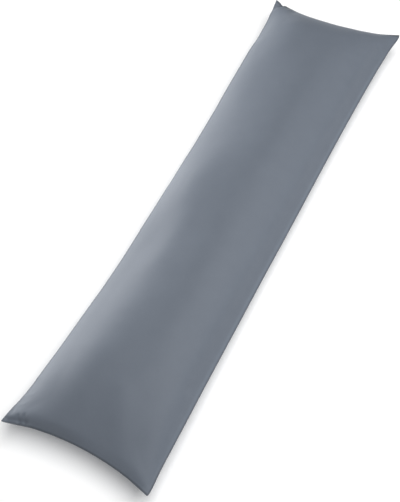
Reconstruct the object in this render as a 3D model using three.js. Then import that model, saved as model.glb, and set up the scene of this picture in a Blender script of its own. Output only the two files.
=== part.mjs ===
// A long body pillow, lying on its back: two oblong cloth panels seamed all round, turned and filled.
// Millimetres, +Z up. +X is across the pillow, +Y runs from the near end to the far end, and the
// origin is on the floor under the middle of the pillow.
import * as THREE from "three";

// Driving dimensions
const TIP_TO_TIP_WIDTH = 472; // between the corner tips across an end
const TIP_TO_TIP_LENGTH = 1800; // between the corner tips along a side
const LIP_WIDTH = 4; // flattened strip beside the seam, stiffened by the seam allowance
const LIP_THICKNESS = 4; // two layers of cloth and their allowances
const SIDE_SEAM_HEIGHT = 64; // of the seam above the floor, half way along a side
const END_SEAM_RISE = 14; // how much higher the seam runs at the two ends
const END_RISE_POWER = 3; // higher keeps that rise nearer to the ends
const END_DRAW_IN = 30; // how far the filling draws in the middle of each end
const END_DRAW_POWER = 4; // higher keeps that draw nearer to the ends
const NEAR_FULLNESS = 7; // power of the fall towards the near end: higher is fuller
const FAR_FULLNESS = 16; // the same towards the far end
const SHOULDER = 0.3; // share of the fall to the right that is straight, which creases the crest softly
const FLARE = 9; // how far the right-hand seam lies out flat before the filling lifts the cloth
const FLAT_WIDTH = 0.6; // share of the width that the filling's weight presses flat on the floor
const FLAT_LENGTH = 0.8; // the same of the length
const UNDERSIDE_CURVE = 1.3; // power of the underside's rise from there to the seam
const EAR_REACH = 110; // how far from its tip a corner's turned-up ear starts

// Sections across the pillow, from the near end to the far end. leftIn and rightIn are how far the
// sides are drawn in from the line between the tips, crown is the height of the top over the seam,
// crest is where the top is highest, as a share of the half width towards the right, and leftFall
// and rightFall are the powers of the fall from there to each side: higher is fuller.
const SECTIONS = [
  { along: 0.0, leftIn: 0.0, rightIn: 0.0, crown: 92, crest: 0.34, leftFall: 3.0, rightFall: 4.0 },
  { along: 0.05, leftIn: 13.0, rightIn: 2.0, crown: 94, crest: 0.36, leftFall: 3.0, rightFall: 4.4 },
  { along: 0.1, leftIn: 21.0, rightIn: 4.0, crown: 96, crest: 0.38, leftFall: 3.5, rightFall: 4.8 },
  { along: 0.2, leftIn: 29.0, rightIn: 8.0, crown: 99, crest: 0.4, leftFall: 3.0, rightFall: 5.0 },
  { along: 0.3, leftIn: 33.0, rightIn: 10.0, crown: 101, crest: 0.41, leftFall: 2.3, rightFall: 5.0 },
  { along: 0.4, leftIn: 35.0, rightIn: 12.0, crown: 101, crest: 0.41, leftFall: 2.5, rightFall: 5.0 },
  { along: 0.5, leftIn: 33.0, rightIn: 12.5, crown: 100, crest: 0.4, leftFall: 4.6, rightFall: 5.0 },
  { along: 0.6, leftIn: 27.5, rightIn: 14.0, crown: 101, crest: 0.4, leftFall: 2.7, rightFall: 5.0 },
  { along: 0.7, leftIn: 21.5, rightIn: 15.0, crown: 100, crest: 0.4, leftFall: 2.6, rightFall: 5.0 },
  { along: 0.8, leftIn: 15.0, rightIn: 14.0, crown: 98, crest: 0.4, leftFall: 2.9, rightFall: 5.0 },
  { along: 0.9, leftIn: 8.5, rightIn: 9.5, crown: 95, crest: 0.38, leftFall: 2.9, rightFall: 4.8 },
  { along: 0.95, leftIn: 4.5, rightIn: 4.5, crown: 93, crest: 0.36, leftFall: 2.9, rightFall: 4.4 },
  { along: 1.0, leftIn: 0.0, rightIn: 0.0, crown: 91, crest: 0.34, leftFall: 2.9, rightFall: 4.0 },
];

// How far each corner's empty ear is turned up. side is -1 left or 1 right, end is -1 near or 1 far.
const EARS = [
  { side: -1, end: -1, lift: 18 },
  { side: 1, end: -1, lift: 4 },
  { side: -1, end: 1, lift: 13 },
  { side: 1, end: 1, lift: 5 },
];

// Cells of the surface
const CELLS_ACROSS = 32;
const CELLS_ALONG = 64;
const EDGE_BUNCHING = 0.6; // 0 spaces the lines evenly, 1 crowds them towards the seam

const CLOTH = { color: 0x717882, roughness: 0.62, metalness: 0.0 };

const COLUMNS = ["leftIn", "rightIn", "crown", "crest", "leftFall", "rightFall"];
const sectionCurve = new THREE.CubicInterpolant(
  SECTIONS.map((row) => row.along),
  SECTIONS.flatMap((row) => COLUMNS.map((column) => row[column])),
  COLUMNS.length,
);

// The section at a share of the length, between the rows of the table.
function sectionAt(along) {
  const values = sectionCurve.evaluate(along);
  return Object.fromEntries(COLUMNS.map((column, i) => [column, values[i]]));
}

// Where a line of the surface lies, from -1 to 1. The first and last cells are the seam's lip.
function linePlace(index, cells, span) {
  if (index === 0 || index === cells) return index === 0 ? -1 : 1;
  const even = (2 * (index - 1)) / (cells - 2) - 1;
  const bunched = Math.sin((even * Math.PI) / 2);
  const inner = 1 - (2 * LIP_WIDTH) / span;
  return inner * THREE.MathUtils.lerp(even, bunched, EDGE_BUNCHING);
}

// The same place as a share of the filled body, which ends at the lip.
function bodyShare(place, span) {
  return THREE.MathUtils.clamp(place / (1 - (2 * LIP_WIDTH) / span), -1, 1);
}

// The seam's height, carried across the whole pillow as the level that the two panels part from.
function seamLevel(x, y, endShare) {
  let level = SIDE_SEAM_HEIGHT + END_SEAM_RISE * Math.abs(endShare) ** END_RISE_POWER;
  for (const { side, end, lift } of EARS) {
    const away = Math.hypot(x - (side * TIP_TO_TIP_WIDTH) / 2, y - (end * TIP_TO_TIP_LENGTH) / 2);
    level += lift * Math.max(0, 1 - away / EAR_REACH) ** 2;
  }
  return level;
}

// How full the pillow is, from 0 at the seam to 1 at the crest.
function fullness(across, along, section) {
  const { crest, leftFall, rightFall } = section;
  const toEnd = 1 - Math.abs(along) ** (along < 0 ? NEAR_FULLNESS : FAR_FULLNESS);
  if (across < crest) return (1 - ((crest - across) / (crest + 1)) ** leftFall) * toEnd;
  const side = (across - crest) / (1 - crest);
  return (1 - THREE.MathUtils.lerp(side ** rightFall, side, SHOULDER)) * toEnd;
}

// How far the underside has risen, from 0 where it lies on the floor to 1 at the seam.
function offFloor(across, along) {
  const rise = (place, flat) => Math.max(0, (Math.abs(place) - flat) / (1 - flat)) ** UNDERSIDE_CURVE;
  return 1 - (1 - rise(across, FLAT_WIDTH)) * (1 - rise(along, FLAT_LENGTH));
}

// A point of the surface. across and along are from -1 to 1, and face is 1 on top and -1 underneath.
function surfacePoint(across, along, face) {
  const section = sectionAt((along + 1) / 2);
  const left = section.leftIn - TIP_TO_TIP_WIDTH / 2;
  const right = TIP_TO_TIP_WIDTH / 2 - section.rightIn;
  const x = THREE.MathUtils.lerp(left, right, (across + 1) / 2);
  const drawnIn = END_DRAW_IN * (1 - across ** 2) * Math.sign(along) * Math.abs(along) ** END_DRAW_POWER;
  const y = (along * TIP_TO_TIP_LENGTH) / 2 - drawnIn;
  const level = seamLevel(x, y, along);
  const acrossBody = bodyShare(across, TIP_TO_TIP_WIDTH);
  const alongBody = bodyShare(along, TIP_TO_TIP_LENGTH);
  if (face < 0) {
    const risen = (level - LIP_THICKNESS / 2) * offFloor(acrossBody, alongBody);
    return new THREE.Vector3(x, y, risen);
  }
  const lifted = 1 - Math.exp(-(((right - x) / FLARE) ** 2));
  const swell = section.crown * fullness(acrossBody, alongBody, section) * lifted;
  return new THREE.Vector3(x, y, level + LIP_THICKNESS / 2 + swell);
}

// A box with gridded faces, pressed into the pillow's form. Its four narrow walls are the seam's edge.
function pillowGeometry() {
  const geometry = new THREE.BoxGeometry(2, 2, 2, CELLS_ACROSS, CELLS_ALONG, 1);
  const position = geometry.getAttribute("position");
  for (let i = 0; i < position.count; i++) {
    const column = Math.round(((position.getX(i) + 1) / 2) * CELLS_ACROSS);
    const row = Math.round(((position.getY(i) + 1) / 2) * CELLS_ALONG);
    const across = linePlace(column, CELLS_ACROSS, TIP_TO_TIP_WIDTH);
    const along = linePlace(row, CELLS_ALONG, TIP_TO_TIP_LENGTH);
    const point = surfacePoint(across, along, position.getZ(i));
    position.setXYZ(i, point.x, point.y, point.z);
  }
  geometry.computeVertexNormals();
  return geometry;
}

const pillow = new THREE.Mesh(pillowGeometry(), new THREE.MeshStandardMaterial(CLOTH));
pillow.name = "pillow";

const bodyPillow = new THREE.Group();
bodyPillow.add(pillow);

export default bodyPillow;
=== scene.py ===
import math

import bmesh
import bpy
from mathutils import Euler, Matrix, Vector, noise
from mathutils.geometry import intersect_point_line
from mathutils.kdtree import KDTree


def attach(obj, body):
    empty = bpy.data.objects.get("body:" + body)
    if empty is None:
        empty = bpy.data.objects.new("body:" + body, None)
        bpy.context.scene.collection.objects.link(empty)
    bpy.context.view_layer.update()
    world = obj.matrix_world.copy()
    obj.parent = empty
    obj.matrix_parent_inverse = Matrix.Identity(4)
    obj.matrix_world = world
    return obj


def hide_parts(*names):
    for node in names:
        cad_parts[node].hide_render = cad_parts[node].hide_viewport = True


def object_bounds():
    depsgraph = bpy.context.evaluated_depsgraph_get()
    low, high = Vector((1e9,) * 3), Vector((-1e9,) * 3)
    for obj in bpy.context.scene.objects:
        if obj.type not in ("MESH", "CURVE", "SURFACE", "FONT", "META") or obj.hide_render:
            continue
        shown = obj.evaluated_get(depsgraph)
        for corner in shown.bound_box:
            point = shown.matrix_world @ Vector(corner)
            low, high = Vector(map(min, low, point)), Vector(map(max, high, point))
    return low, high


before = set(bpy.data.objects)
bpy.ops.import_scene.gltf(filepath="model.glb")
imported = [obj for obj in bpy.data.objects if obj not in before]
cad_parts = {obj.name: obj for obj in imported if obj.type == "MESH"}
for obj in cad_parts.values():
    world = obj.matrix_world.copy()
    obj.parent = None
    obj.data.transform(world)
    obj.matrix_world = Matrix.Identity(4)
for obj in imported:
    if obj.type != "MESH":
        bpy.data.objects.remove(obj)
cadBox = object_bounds()
scene = bpy.context.scene
print("frame loaded, pillow box", [round(high - low, 3) for low, high in zip(*cadBox)])


# where the photograph was taken from, aimed at a point of the floor
photo = dict(
    height=502, focal=834.4,  # pixels
    azimuth=37.62, elevation=57.30, roll=11.48,  # degrees
    aim=(-0.0214, -0.1387, 0.0), distance=2.6584,  # metres
)


def makeCamera():
    data = bpy.data.cameras.new("photoCamera")
    data.lens = photo["focal"] / photo["height"] * data.sensor_width  # the picture is upright
    camera = bpy.data.objects.new("photoCamera", data)
    tilt = math.radians(90 - photo["elevation"])
    turn = Euler((tilt, 0, math.radians(photo["azimuth"]))).to_matrix().to_4x4()
    back = turn @ Vector((0, 0, photo["distance"]))
    lean = Matrix.Rotation(-math.radians(photo["roll"]), 4, "Z")
    camera.matrix_world = Matrix.Translation(Vector(photo["aim"]) + back) @ turn @ lean
    scene.collection.objects.link(camera)
    scene.camera = camera
    print("camera", round(data.lens, 1), "mm")


class Wire:
    # an output socket of a node tree, so that shader maths reads as plain sums
    def __init__(self, tree, socket=None):
        self.tree = tree
        self.socket = socket

    def node(self, kind, settings=None, values=None, output=0):
        made = self.tree.nodes.new(kind)
        for name, value in (settings or {}).items():
            setattr(made, name, value)
        for name, value in (values or {}).items():
            if isinstance(value, Wire):
                self.tree.links.new(value.socket, made.inputs[name])
            else:
                made.inputs[name].default_value = value
        return Wire(self.tree, made.outputs[output] if made.outputs else None)

    def sum(self, operation, first, second):
        return self.node("ShaderNodeMath", dict(operation=operation), {0: first, 1: second})

    def __add__(self, other):
        return self.sum("ADD", self, other)

    def __radd__(self, other):
        return self.sum("ADD", other, self)

    def __sub__(self, other):
        return self.sum("SUBTRACT", self, other)

    def __rsub__(self, other):
        return self.sum("SUBTRACT", other, self)

    def __mul__(self, other):
        return self.sum("MULTIPLY", self, other)

    def __rmul__(self, other):
        return self.sum("MULTIPLY", other, self)


# slate grey brushed microfibre
cloth = dict(
    shade=(0.112, 0.130, 0.159), paleShade=(0.133, 0.153, 0.184),
    grainShare=0.7, napShare=0.35, mottleShare=0.5,  # of the change from one shade to the other
    roughness=0.62, roughnessSpread=0.1, specular=0.3,
    sheen=0.15, sheenRoughness=0.35, sheenTint=(0.90, 0.95, 1.0),
    threadPitch=0.0006, threadRun=0.012,  # metres
    mottlePitch=0.05, napPitch=0.006,  # metres
    threadDetail=1.0, mottleDetail=2.0,  # finer layers in each noise
    grainDepth=0.00006,  # metres
)


def clothMaterial():
    material = bpy.data.materials.new("slateMicrofibre")
    material.use_nodes = True
    tree = material.node_tree
    tree.nodes.clear()
    start = Wire(tree)
    panel = start.node("ShaderNodeUVMap", dict(uv_map="panels"))
    place = start.node("ShaderNodeTexCoord", output="Object")
    # the shade and highlight painted along the seam
    paintedSeamLight = start.node("ShaderNodeAttribute", dict(attribute_name="paintedSeamLight"), output="Fac")

    def threads(across, along):
        # fine threads, long one way and narrow the other
        spread = start.node(
            "ShaderNodeVectorMath", dict(operation="MULTIPLY"), {0: panel, 1: (1 / across, 1 / along, 0)}
        )
        return start.node(
            "ShaderNodeTexNoise", dict(noise_dimensions="2D"),
            {"Vector": spread, "Scale": 1.0, "Detail": cloth["threadDetail"]},
        )

    def mottle(pitch):
        return start.node(
            "ShaderNodeTexNoise", None,
            {"Vector": place, "Scale": 1 / pitch, "Detail": cloth["mottleDetail"]},
        )

    pitch = cloth["threadPitch"]
    run = cloth["threadRun"]
    grain = (threads(pitch, run) + threads(run, pitch)) * 0.5  # the mean of warp and weft
    nap = mottle(cloth["napPitch"])
    patches = mottle(cloth["mottlePitch"])
    midway = 0.5  # the middle of a noise, and half way between the two shades
    tone = (
        midway
        + (grain - midway) * cloth["grainShare"]
        + (nap - midway) * cloth["napShare"]
        + (patches - midway) * cloth["mottleShare"]
    )
    colour = start.node(
        "ShaderNodeMix", dict(data_type="RGBA"),
        {"Factor": tone, 6: (*cloth["shade"], 1), 7: (*cloth["paleShade"], 1)},  # 6 and 7 take colours
        output=2,  # the mixed colour
    )
    # the cloth's colour darkened by the painted seam shade and lightened by the painted seam highlight
    shaded = start.node("ShaderNodeVectorMath", dict(operation="SCALE"), {0: colour, "Scale": paintedSeamLight})
    roughness = cloth["roughness"] + (nap - midway) * cloth["roughnessSpread"]
    bump = start.node(
        "ShaderNodeBump", None, {"Strength": 1.0, "Distance": cloth["grainDepth"], "Height": grain + nap}
    )
    shader = start.node(
        "ShaderNodeBsdfPrincipled", None,
        {
            "Base Color": shaded, "Roughness": roughness, "Normal": bump,
            "Specular IOR Level": cloth["specular"],
            "Sheen Weight": cloth["sheen"], "Sheen Roughness": cloth["sheenRoughness"],
            "Sheen Tint": (*cloth["sheenTint"], 1),
        },
    )
    start.node("ShaderNodeOutputMaterial", None, {"Surface": shader})
    print("cloth made", len(tree.nodes), "nodes")
    return material


# the pillow: its cover is the solid's own skin, cut along the seam, filled and settled
low, high = cadBox
pillow = dict(
    # the solid's triangles, joined into four-sided cells
    mergeReach=1e-5,  # metres
    joinAngle=60, squareAngle=80,  # degrees
    # the seam, in a groove half way up the edge, and the two panels
    wallHeight=0.006,  # metres, the edge is lower than this
    steepness=0.8,  # share of its length that an upright line of the edge rises
    grooveDepth=0.0022,  # metres, how far the seam lies in from the edge
    flatness=0.9,  # of a face that is level enough to be in the middle of a panel

    # the filling: the cover starts slack, held at its seam, and pressure swells it
    filling=dict(
        slack=0.005,  # metres, how far inside its filled form the cover starts
        heldReach=0.03, freeReach=0.09,  # metres from the seam, where it is held and where it is free
        ease=0.02, easeReach=0.17,  # share of spare cloth at the tips, and how far it reaches in metres
        pressure=4.0, frames=20, quality=6, weight=0.2,
        stretch=40.0, shear=15.0, bend=2.0,
        reach=0.008,  # metres, the most that a point may move from the filled form
    ),

    # creases and swells, in metres: those that go through move both panels
    creases=[
        # near left: the tip droops, with a hollow beside it, a full flank and puckers along the two seams
        dict(path=[(-0.236, -0.900), (-0.226, -0.892)], lift=-0.011, width=0.050, through=True),
        dict(path=[(-0.222, -0.889), (-0.202, -0.882), (-0.168, -0.875)],
             lift=-0.005, width=0.008, through=True),
        dict(path=[(-0.080, -0.840), (-0.070, -0.640)], lift=0.012, width=0.100, through=False),
        dict(path=[(-0.199, -0.870), (-0.190, -0.884)], lift=-0.0025, width=0.005, through=True),
        dict(path=[(-0.182, -0.862), (-0.173, -0.878)], lift=-0.0025, width=0.005, through=True),
        dict(path=[(-0.219, -0.846), (-0.200, -0.832)], lift=0.0008, width=0.005, through=True),
        dict(path=[(-0.217, -0.814), (-0.197, -0.802)], lift=0.0008, width=0.005, through=True),
        # far left: the ear folds behind a full corner, with a notch in the far edge
        dict(path=[(-0.110, 0.660), (-0.115, 0.760)], lift=0.010, width=0.080, through=False),
        dict(path=[(-0.237, 0.862), (-0.209, 0.890)], lift=-0.004, width=0.008, through=True),
        dict(path=[(-0.209, 0.893), (-0.213, 0.880)], lift=-0.004, width=0.006, through=True),
        dict(path=[(-0.160, 0.864), (-0.146, 0.848)], lift=-0.004, width=0.008, through=False),
        dict(path=[(-0.222, 0.736), (-0.205, 0.711)], lift=0.0008, width=0.005, through=True),
        dict(path=[(-0.222, 0.715), (-0.206, 0.690)], lift=0.0008, width=0.005, through=True),
        # left: the side's edge droops and rises along the pillow
        dict(path=[(-0.222, -0.820), (-0.222, -0.790)], lift=-0.005, width=0.045, through=True),
        dict(path=[(-0.208, -0.400), (-0.208, -0.320)], lift=-0.005, width=0.070, through=True),
        dict(path=[(-0.206, -0.160), (-0.206, -0.010)], lift=0.003, width=0.030, through=True),
        dict(path=[(-0.212, 0.200), (-0.218, 0.360)], lift=-0.005, width=0.060, through=True),
        dict(path=[(-0.234, 0.730), (-0.236, 0.860)], lift=-0.011, width=0.045, through=True),
        # left: soft swells of the filling along the flank
        dict(path=[(-0.060, -0.460), (-0.055, -0.300)], lift=0.005, width=0.080, through=False),
        dict(path=[(-0.075, -0.300), (-0.065, -0.150)], lift=0.003, width=0.045, through=False),
        dict(path=[(-0.150, 0.400), (-0.160, 0.560)], lift=0.002, width=0.050, through=False),
        # right: a hollow along the side seam, with a pucker at its far end
        dict(path=[(0.207, -0.600), (0.200, 0.300), (0.204, 0.800)],
             lift=-0.008, width=0.014, through=False),
        dict(path=[(0.222, 0.776), (0.205, 0.750)], lift=0.0008, width=0.005, through=True),
        # the right-hand tips droop
        dict(path=[(0.236, -0.900), (0.226, -0.890)], lift=-0.008, width=0.050, through=True),
        dict(path=[(0.236, 0.900), (0.226, 0.890)], lift=-0.005, width=0.050, through=True),
        # near right: the fold to the tip
        dict(path=[(0.215, -0.885), (0.120, -0.846), (0.050, -0.700)],
             lift=0.005, width=0.040, through=False),
    ],

    # what the sewing does to the cloth: small gathers and a roll beside the seam, with a highlight
    # painted beside the seam and a shade painted along its edge, in metres
    sewing=dict(
        heldReach=0.018,  # from the seam, where creases of one panel run out
        outReach=0.020,  # from a side, where its edge is held out
        gatherDepth=0.0012, gatherPitch=0.018, gatherPlace=0.0075,
        gatherSpread=0.3,  # from a tip, where the gathers die away
        rollDepth=0.0005, rollPlace=0.010, rollWidth=0.003,
        highlightPlace=0.010, highlightWidth=0.006,  # a highlight painted over the pressed cloth of the allowance
        highlightEnd=0.15,  # from a tip, where that dies away
        shadeFall=2,  # 1 fades the shade painted along the turned edge over its whole reach, 2 over the last half
    ),
    # for each side, how far the allowance holds the edge out, how much and how far in the filling plumps
    # up the top, how strong the highlight painted over the pressed cloth is, and how dark the shade
    # painted along the turned edge is and how far in that goes
    sides=dict(
        left=dict(out=0.0066, plump=0.006, plumpPlace=0.040, paintedHighlight=0.0, shade=0.26, shadeReach=0.0065),
        right=dict(out=0.0012, plump=0.0, plumpPlace=0.012, paintedHighlight=0.15, shade=0.38, shadeReach=0.0045),
        near=dict(out=0.0030, plump=0.003, plumpPlace=0.012, paintedHighlight=0.0, shade=0.38, shadeReach=0.0065),
        far=dict(out=0.0045, plump=0.002, plumpPlace=0.012, paintedHighlight=0.0, shade=0.66, shadeReach=0.0080),
    ),

    # the corner tips, how far each is turned out of square and how blunt it is, in metres, and the
    # share of the shade painted along the turned edge that is left there
    tips=[
        dict(place=(low.x, low.y), shift=(-0.0010, -0.0058), bluntness=0.008, dark=0.4),
        dict(place=(high.x, low.y), shift=(-0.0008, -0.0030), bluntness=0.007, dark=1.0),
        dict(place=(low.x, high.y), shift=(-0.0062, 0.0110), bluntness=0.008, dark=0.3),
        dict(place=(high.x, high.y), shift=(0.0008, 0.0095), bluntness=0.018, dark=1.0),
    ],
    tipReach=0.03,  # metres, how far in from a tip what is done to it fades
)
filling = pillow["filling"]
sewing = pillow["sewing"]
sides = pillow["sides"]
tips = pillow["tips"]
tipReach = pillow["tipReach"]


def clamped(share):
    return min(max(share, 0), 1)


def fade(away, reach):
    # 1 at the place itself, and almost nothing at twice its reach
    return math.exp(-(away / reach) ** 2)


def rise(away, place):
    # nothing at the seam, 1 at its place, and less again further in
    share = away / place
    return share * math.exp(1 - share)


def coverCage(node):
    cage = bmesh.new()
    cage.from_mesh(node.data)
    bmesh.ops.remove_doubles(cage, verts=cage.verts, dist=pillow["mergeReach"])
    bmesh.ops.join_triangles(
        cage, faces=cage.faces, topology_influence=1.0,
        angle_face_threshold=math.radians(pillow["joinAngle"]),
        angle_shape_threshold=math.radians(pillow["squareAngle"]),
    )
    cage.normal_update()
    return cage


def sewSeam(cage):
    # the two panels meet half way up the edge, in a groove
    def upright(edge):
        step = edge.verts[1].co - edge.verts[0].co
        return step.length < pillow["wallHeight"] and abs(step.z) > pillow["steepness"] * step.length

    edges = [edge for edge in cage.edges if upright(edge)]
    split = bmesh.ops.subdivide_edges(cage, edges=edges, cuts=1, use_grid_fill=True)
    seam = {made for made in split["geom_inner"] if isinstance(made, bmesh.types.BMVert)}
    cage.normal_update()
    for vert in seam:
        vert.co -= vert.normal * pillow["grooveDepth"]
    for edge in cage.edges:
        edge.seam = edge.verts[0] in seam and edge.verts[1] in seam
    print("seam sewn,", len(seam), "points")


def layPanels(piece):
    # each panel's weave runs straight along it, in metres, as on the flat cloth
    mesh = piece.data
    mesh.uv_layers.new(name="panels")
    bpy.ops.object.select_all(action="DESELECT")
    piece.select_set(True)
    bpy.context.view_layer.objects.active = piece
    bpy.ops.object.mode_set(mode="EDIT")
    work = bmesh.from_edit_mesh(mesh)
    weave = work.loops.layers.uv["panels"]
    for facing in (1, -1):
        flat = [face for face in work.faces if face.normal.z * facing > pillow["flatness"]]
        middle = min(flat, key=lambda face: face.calc_center_median().xy.length)
        work.faces.active = middle
        for face in work.faces:
            face.select_set(True)
            for loop in face.loops:
                loop[weave].select = True
        for loop in middle.loops:
            loop[weave].uv = loop.vert.co.xy
        bmesh.update_edit_mesh(mesh)
        bpy.ops.uv.follow_active_quads(mode="LENGTH_AVERAGE")
    bpy.ops.object.mode_set(mode="OBJECT")
    print("panels laid,", len(mesh.polygons), "cells")


def settled(piece):
    # the mesh with its modifiers applied
    fine = bpy.data.meshes.new_from_object(piece.evaluated_get(bpy.context.evaluated_depsgraph_get()))
    piece.modifiers.clear()
    return fine


def refine(piece):
    coarse = piece.data
    smooth = piece.modifiers.new("refine", "SUBSURF")
    smooth.levels = smooth.render_levels = 1
    piece.data = settled(piece)
    bpy.data.meshes.remove(coarse)


def fromTips(place):
    # how far off the nearest tip is, and which it is
    return min(((place.xy - Vector(tip["place"])).length, index) for index, tip in enumerate(tips))


def seamTrees(mesh):
    # the points of the seam along each side, with the way that each faces
    marked = {index for edge in mesh.edges if edge.use_seam for index in edge.vertices}
    facing = {index: mesh.vertices[index].normal.copy() for index in marked}
    found = {name: [] for name in sides}
    for index, way in facing.items():
        if abs(way.x) > abs(way.y):
            found["right" if way.x > 0 else "left"].append(index)
        else:
            found["far" if way.y > 0 else "near"].append(index)
    trees = {}
    for name, indices in found.items():
        trees[name] = KDTree(len(indices))
        for index in indices:
            trees[name].insert(mesh.vertices[index].co, index)
        trees[name].balance()
    return trees, facing


def fromSeam(tree, place):
    # the nearest point of a side's seam, the mark beside it, and how far off it is
    (first, mark, _), (second, _, _) = tree.find_n(place, 2)
    share = intersect_point_line(place, first, second)[1]
    nearest = first.lerp(second, clamped(share))
    return nearest, mark, (place - nearest).length


def fillCover(piece):
    mesh = piece.data
    trees, _ = seamTrees(mesh)
    form = [vert.co.copy() for vert in mesh.vertices]
    slack = [vert.normal * filling["slack"] for vert in mesh.vertices]  # read before any point moves
    held = piece.vertex_groups.new(name="held")
    eased = piece.vertex_groups.new(name="eased")
    for vert, old in zip(mesh.vertices, form):
        away = min(tree.find(old)[2] for tree in trees.values())
        free = clamped((away - filling["heldReach"]) / (filling["freeReach"] - filling["heldReach"]))
        held.add([vert.index], 1 - free, "REPLACE")
        spare = 1 - fromTips(old)[0] / filling["easeReach"]
        eased.add([vert.index], max(0, spare), "REPLACE")
        vert.co = old - slack[vert.index] * free
    swell = piece.modifiers.new("swell", "CLOTH")
    rules = swell.settings
    rules.quality = filling["quality"]
    rules.mass = filling["weight"]
    rules.tension_stiffness = rules.compression_stiffness = filling["stretch"]
    rules.shear_stiffness = filling["shear"]
    rules.bending_stiffness = filling["bend"]
    rules.vertex_group_mass = "held"
    rules.vertex_group_shrink = "eased"
    rules.shrink_max = -filling["ease"]
    rules.use_pressure = True
    rules.uniform_pressure_force = filling["pressure"]
    rules.effector_weights.gravity = 0
    swell.collision_settings.use_collision = False
    swell.point_cache.frame_end = filling["frames"]
    for step in range(1, filling["frames"] + 1):
        scene.frame_set(step)
    swollen = settled(piece)
    moves = [new.co - old for new, old in zip(swollen.vertices, form)]
    bpy.data.meshes.remove(swollen)
    print("filled, free move", round(max(move.length for move in moves) * 1000, 1), "mm")
    for vert, old, move in zip(mesh.vertices, form, moves):
        if move.length > filling["reach"]:
            move *= filling["reach"] / move.length
        vert.co = old + move
        vert.co.z = max(vert.co.z, 0)  # the floor
    piece.vertex_groups.clear()
    scene.frame_set(1)


def fromStep(place, start, end):
    # how far off one straight step of a crease is
    share = clamped(intersect_point_line(place, start, end)[1])
    return (place - start.lerp(end, share)).length


def creaseCover(piece):
    mesh = piece.data
    trees, _ = seamTrees(mesh)
    facing = [vert.normal.z for vert in mesh.vertices]  # read before any point moves
    creases = []
    for crease in pillow["creases"]:
        points = [Vector((*point, 0)) for point in crease["path"]]
        creases.append((crease, list(zip(points, points[1:]))))
    for vert, upward in zip(mesh.vertices, facing):
        place = vert.co.xy.to_3d()
        aways = [fromSeam(tree, vert.co)[2] for tree in trees.values()]
        held = math.prod(1 - fade(away, sewing["heldReach"]) for away in aways)
        for crease, steps in creases:
            if upward < 0 and not crease["through"]:
                continue
            aside = min(fromStep(place, *step) for step in steps)
            share = 1 if crease["through"] else held
            vert.co.z += crease["lift"] * fade(aside, crease["width"]) * share
    print("cover creased", len(creases))


def finishSeam(piece):
    # gathers and a roll beside the seam, edges held out and plumped, and a shade and a highlight painted
    # along the seam
    mesh = piece.data
    trees, facing = seamTrees(mesh)
    outward = [vert.normal.copy() for vert in mesh.vertices]  # read before any point moves
    paintedSeamTones = []
    for vert, normal in zip(mesh.vertices, outward):
        marks = {name: fromSeam(tree, vert.co) for name, tree in trees.items()}
        tipAway, tip = fromTips(vert.co)
        atTip = fade(tipAway, tipReach)
        point, _, away = min(marks.values(), key=lambda mark: mark[2])
        corner = math.exp(-tipAway / sewing["gatherSpread"])
        gather = corner * noise.noise(point / sewing["gatherPitch"]) * rise(away, sewing["gatherPlace"])
        roll = fade(away - sewing["rollPlace"], sewing["rollWidth"])
        move = normal * (sewing["gatherDepth"] * gather - sewing["rollDepth"] * roll)
        keep = 1 - (1 - tips[tip]["dark"]) * atTip
        inside = 1 - fade(tipAway, sewing["highlightEnd"])
        paintedHighlight = shade = 0
        for name, (_, mark, away) in marks.items():
            side = sides[name]
            move.xy += facing[mark].xy * side["out"] * fade(away, sewing["outReach"]) * (1 - atTip)
            others = [marks[other][2] for other in sides if other != name]
            held = math.prod(1 - fade(other, sewing["heldReach"]) for other in others)
            move.z += side["plump"] * rise(away, side["plumpPlace"]) * held * (normal.z > 0)
            # a highlight painted over the pressed cloth beside the seam
            highlightStrip = fade(away - sewing["highlightPlace"], sewing["highlightWidth"])
            paintedHighlight = max(paintedHighlight, side["paintedHighlight"] * highlightStrip * inside)
            # a shade painted along the turned edge
            turned = clamped(sewing["shadeFall"] * (1 - away / side["shadeReach"]))
            shade = max(shade, keep * side["shade"] * turned)
        vert.co += move
        paintedSeamTones.append(1 + paintedHighlight - shade)
    # the seam's painted shade and highlight, as a factor on the cloth's colour
    mesh.attributes.new("paintedSeamLight", "FLOAT", "POINT").data.foreach_set("value", paintedSeamTones)
    print("seam finished")


def turnTips(piece):
    # the corners are turned out bluntly: points are eased along the line from the tip to the middle
    for vert in piece.data.vertices:
        away, nearest = fromTips(vert.co)
        tip = tips[nearest]
        corner = Vector(tip["place"])
        inward = Vector((-math.copysign(1, corner.x), -math.copysign(1, corner.y))).normalized()
        depth = max((vert.co.xy - corner).dot(inward), 0)
        eased = math.hypot(depth, tip["bluntness"]) - depth - tip["bluntness"] * fade(depth, tipReach)
        vert.co.xy += inward * eased + Vector(tip["shift"]) * math.exp(-away / tipReach)
    print("tips turned out")


def makePillow():
    cage = coverCage(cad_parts["pillow"])
    sewSeam(cage)
    mesh = bpy.data.meshes.new("filledPillow")
    cage.to_mesh(mesh)
    cage.free()
    mesh.materials.clear()
    piece = bpy.data.objects.new("filledPillow", mesh)
    scene.collection.objects.link(piece)
    layPanels(piece)
    refine(piece)
    fillCover(piece)
    refine(piece)
    creaseCover(piece)
    finishSeam(piece)
    turnTips(piece)
    piece.data.materials.append(clothMaterial())
    piece.data.polygons.foreach_set("use_smooth", [True] * len(piece.data.polygons))
    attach(piece, "root")
    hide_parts("pillow")
    print("pillow", len(piece.data.polygons), "faces")


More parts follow.
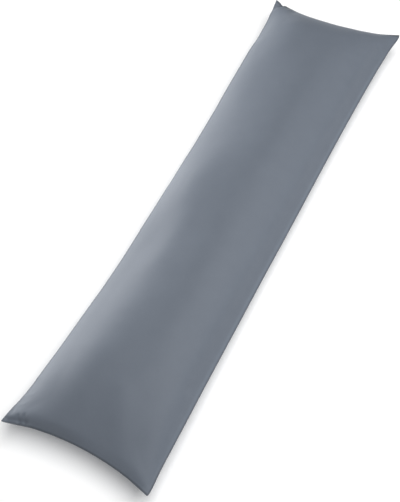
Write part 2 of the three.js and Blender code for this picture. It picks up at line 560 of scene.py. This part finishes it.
# a white sweep under a big soft light, with low strip lights at both sides
studio = dict(
    floorSize=16.0,  # metres
    floorTone=(0.90, 0.90, 0.90), floorRoughness=0.9, floorGlow=0.1,
    sky=(0.97, 0.985, 1.0), skyStrength=0.2,
    top=dict(place=(1.0, 0.22, 3.0), aim=(0, 0, 0), size=(3.0, 2.6), watts=121),
    key=dict(place=(-2.5, 0.1, 0.2), aim=(0, 0, 0.1), size=(3.4, 0.3), watts=93),
    fill=dict(place=(2.5, 0.2, 0.45), aim=(0, 0, 0.1), size=(3.2, 0.5), watts=6),
)


def makeLight(name):
    look = studio[name]
    data = bpy.data.lights.new(name, "AREA")
    data.shape = "RECTANGLE"
    data.size, data.size_y = look["size"]
    data.energy = look["watts"]
    light = bpy.data.objects.new(name, data)
    light.location = look["place"]
    aim = Vector(look["aim"]) - Vector(look["place"])
    light.rotation_euler = aim.to_track_quat("-Z", "Y").to_euler()
    light.visible_camera = False
    scene.collection.objects.link(light)


def makeStudio():
    sweep = bmesh.new()
    bmesh.ops.create_grid(sweep, x_segments=1, y_segments=1, size=studio["floorSize"] / 2)
    mesh = bpy.data.meshes.new("floor")
    sweep.to_mesh(mesh)
    sweep.free()
    floor = bpy.data.objects.new("floor", mesh)
    scene.collection.objects.link(floor)
    paper = bpy.data.materials.new("floorPaper")
    paper.use_nodes = True
    shader = paper.node_tree.nodes["Principled BSDF"]
    shader.inputs["Base Color"].default_value = (*studio["floorTone"], 1)
    shader.inputs["Roughness"].default_value = studio["floorRoughness"]
    shader.inputs["Emission Color"].default_value = (*studio["floorTone"], 1)
    shader.inputs["Emission Strength"].default_value = studio["floorGlow"]
    mesh.materials.append(paper)
    scene.world = bpy.data.worlds.new("softSky")
    scene.world.use_nodes = True
    sky = scene.world.node_tree.nodes["Background"]
    sky.inputs["Color"].default_value = (*studio["sky"], 1)
    sky.inputs["Strength"].default_value = studio["skyStrength"]
    for name in ("top", "key", "fill"):
        makeLight(name)
    scene.view_settings.view_transform = "Standard"
    print("studio lit")


makeCamera()
makePillow()
makeStudio()
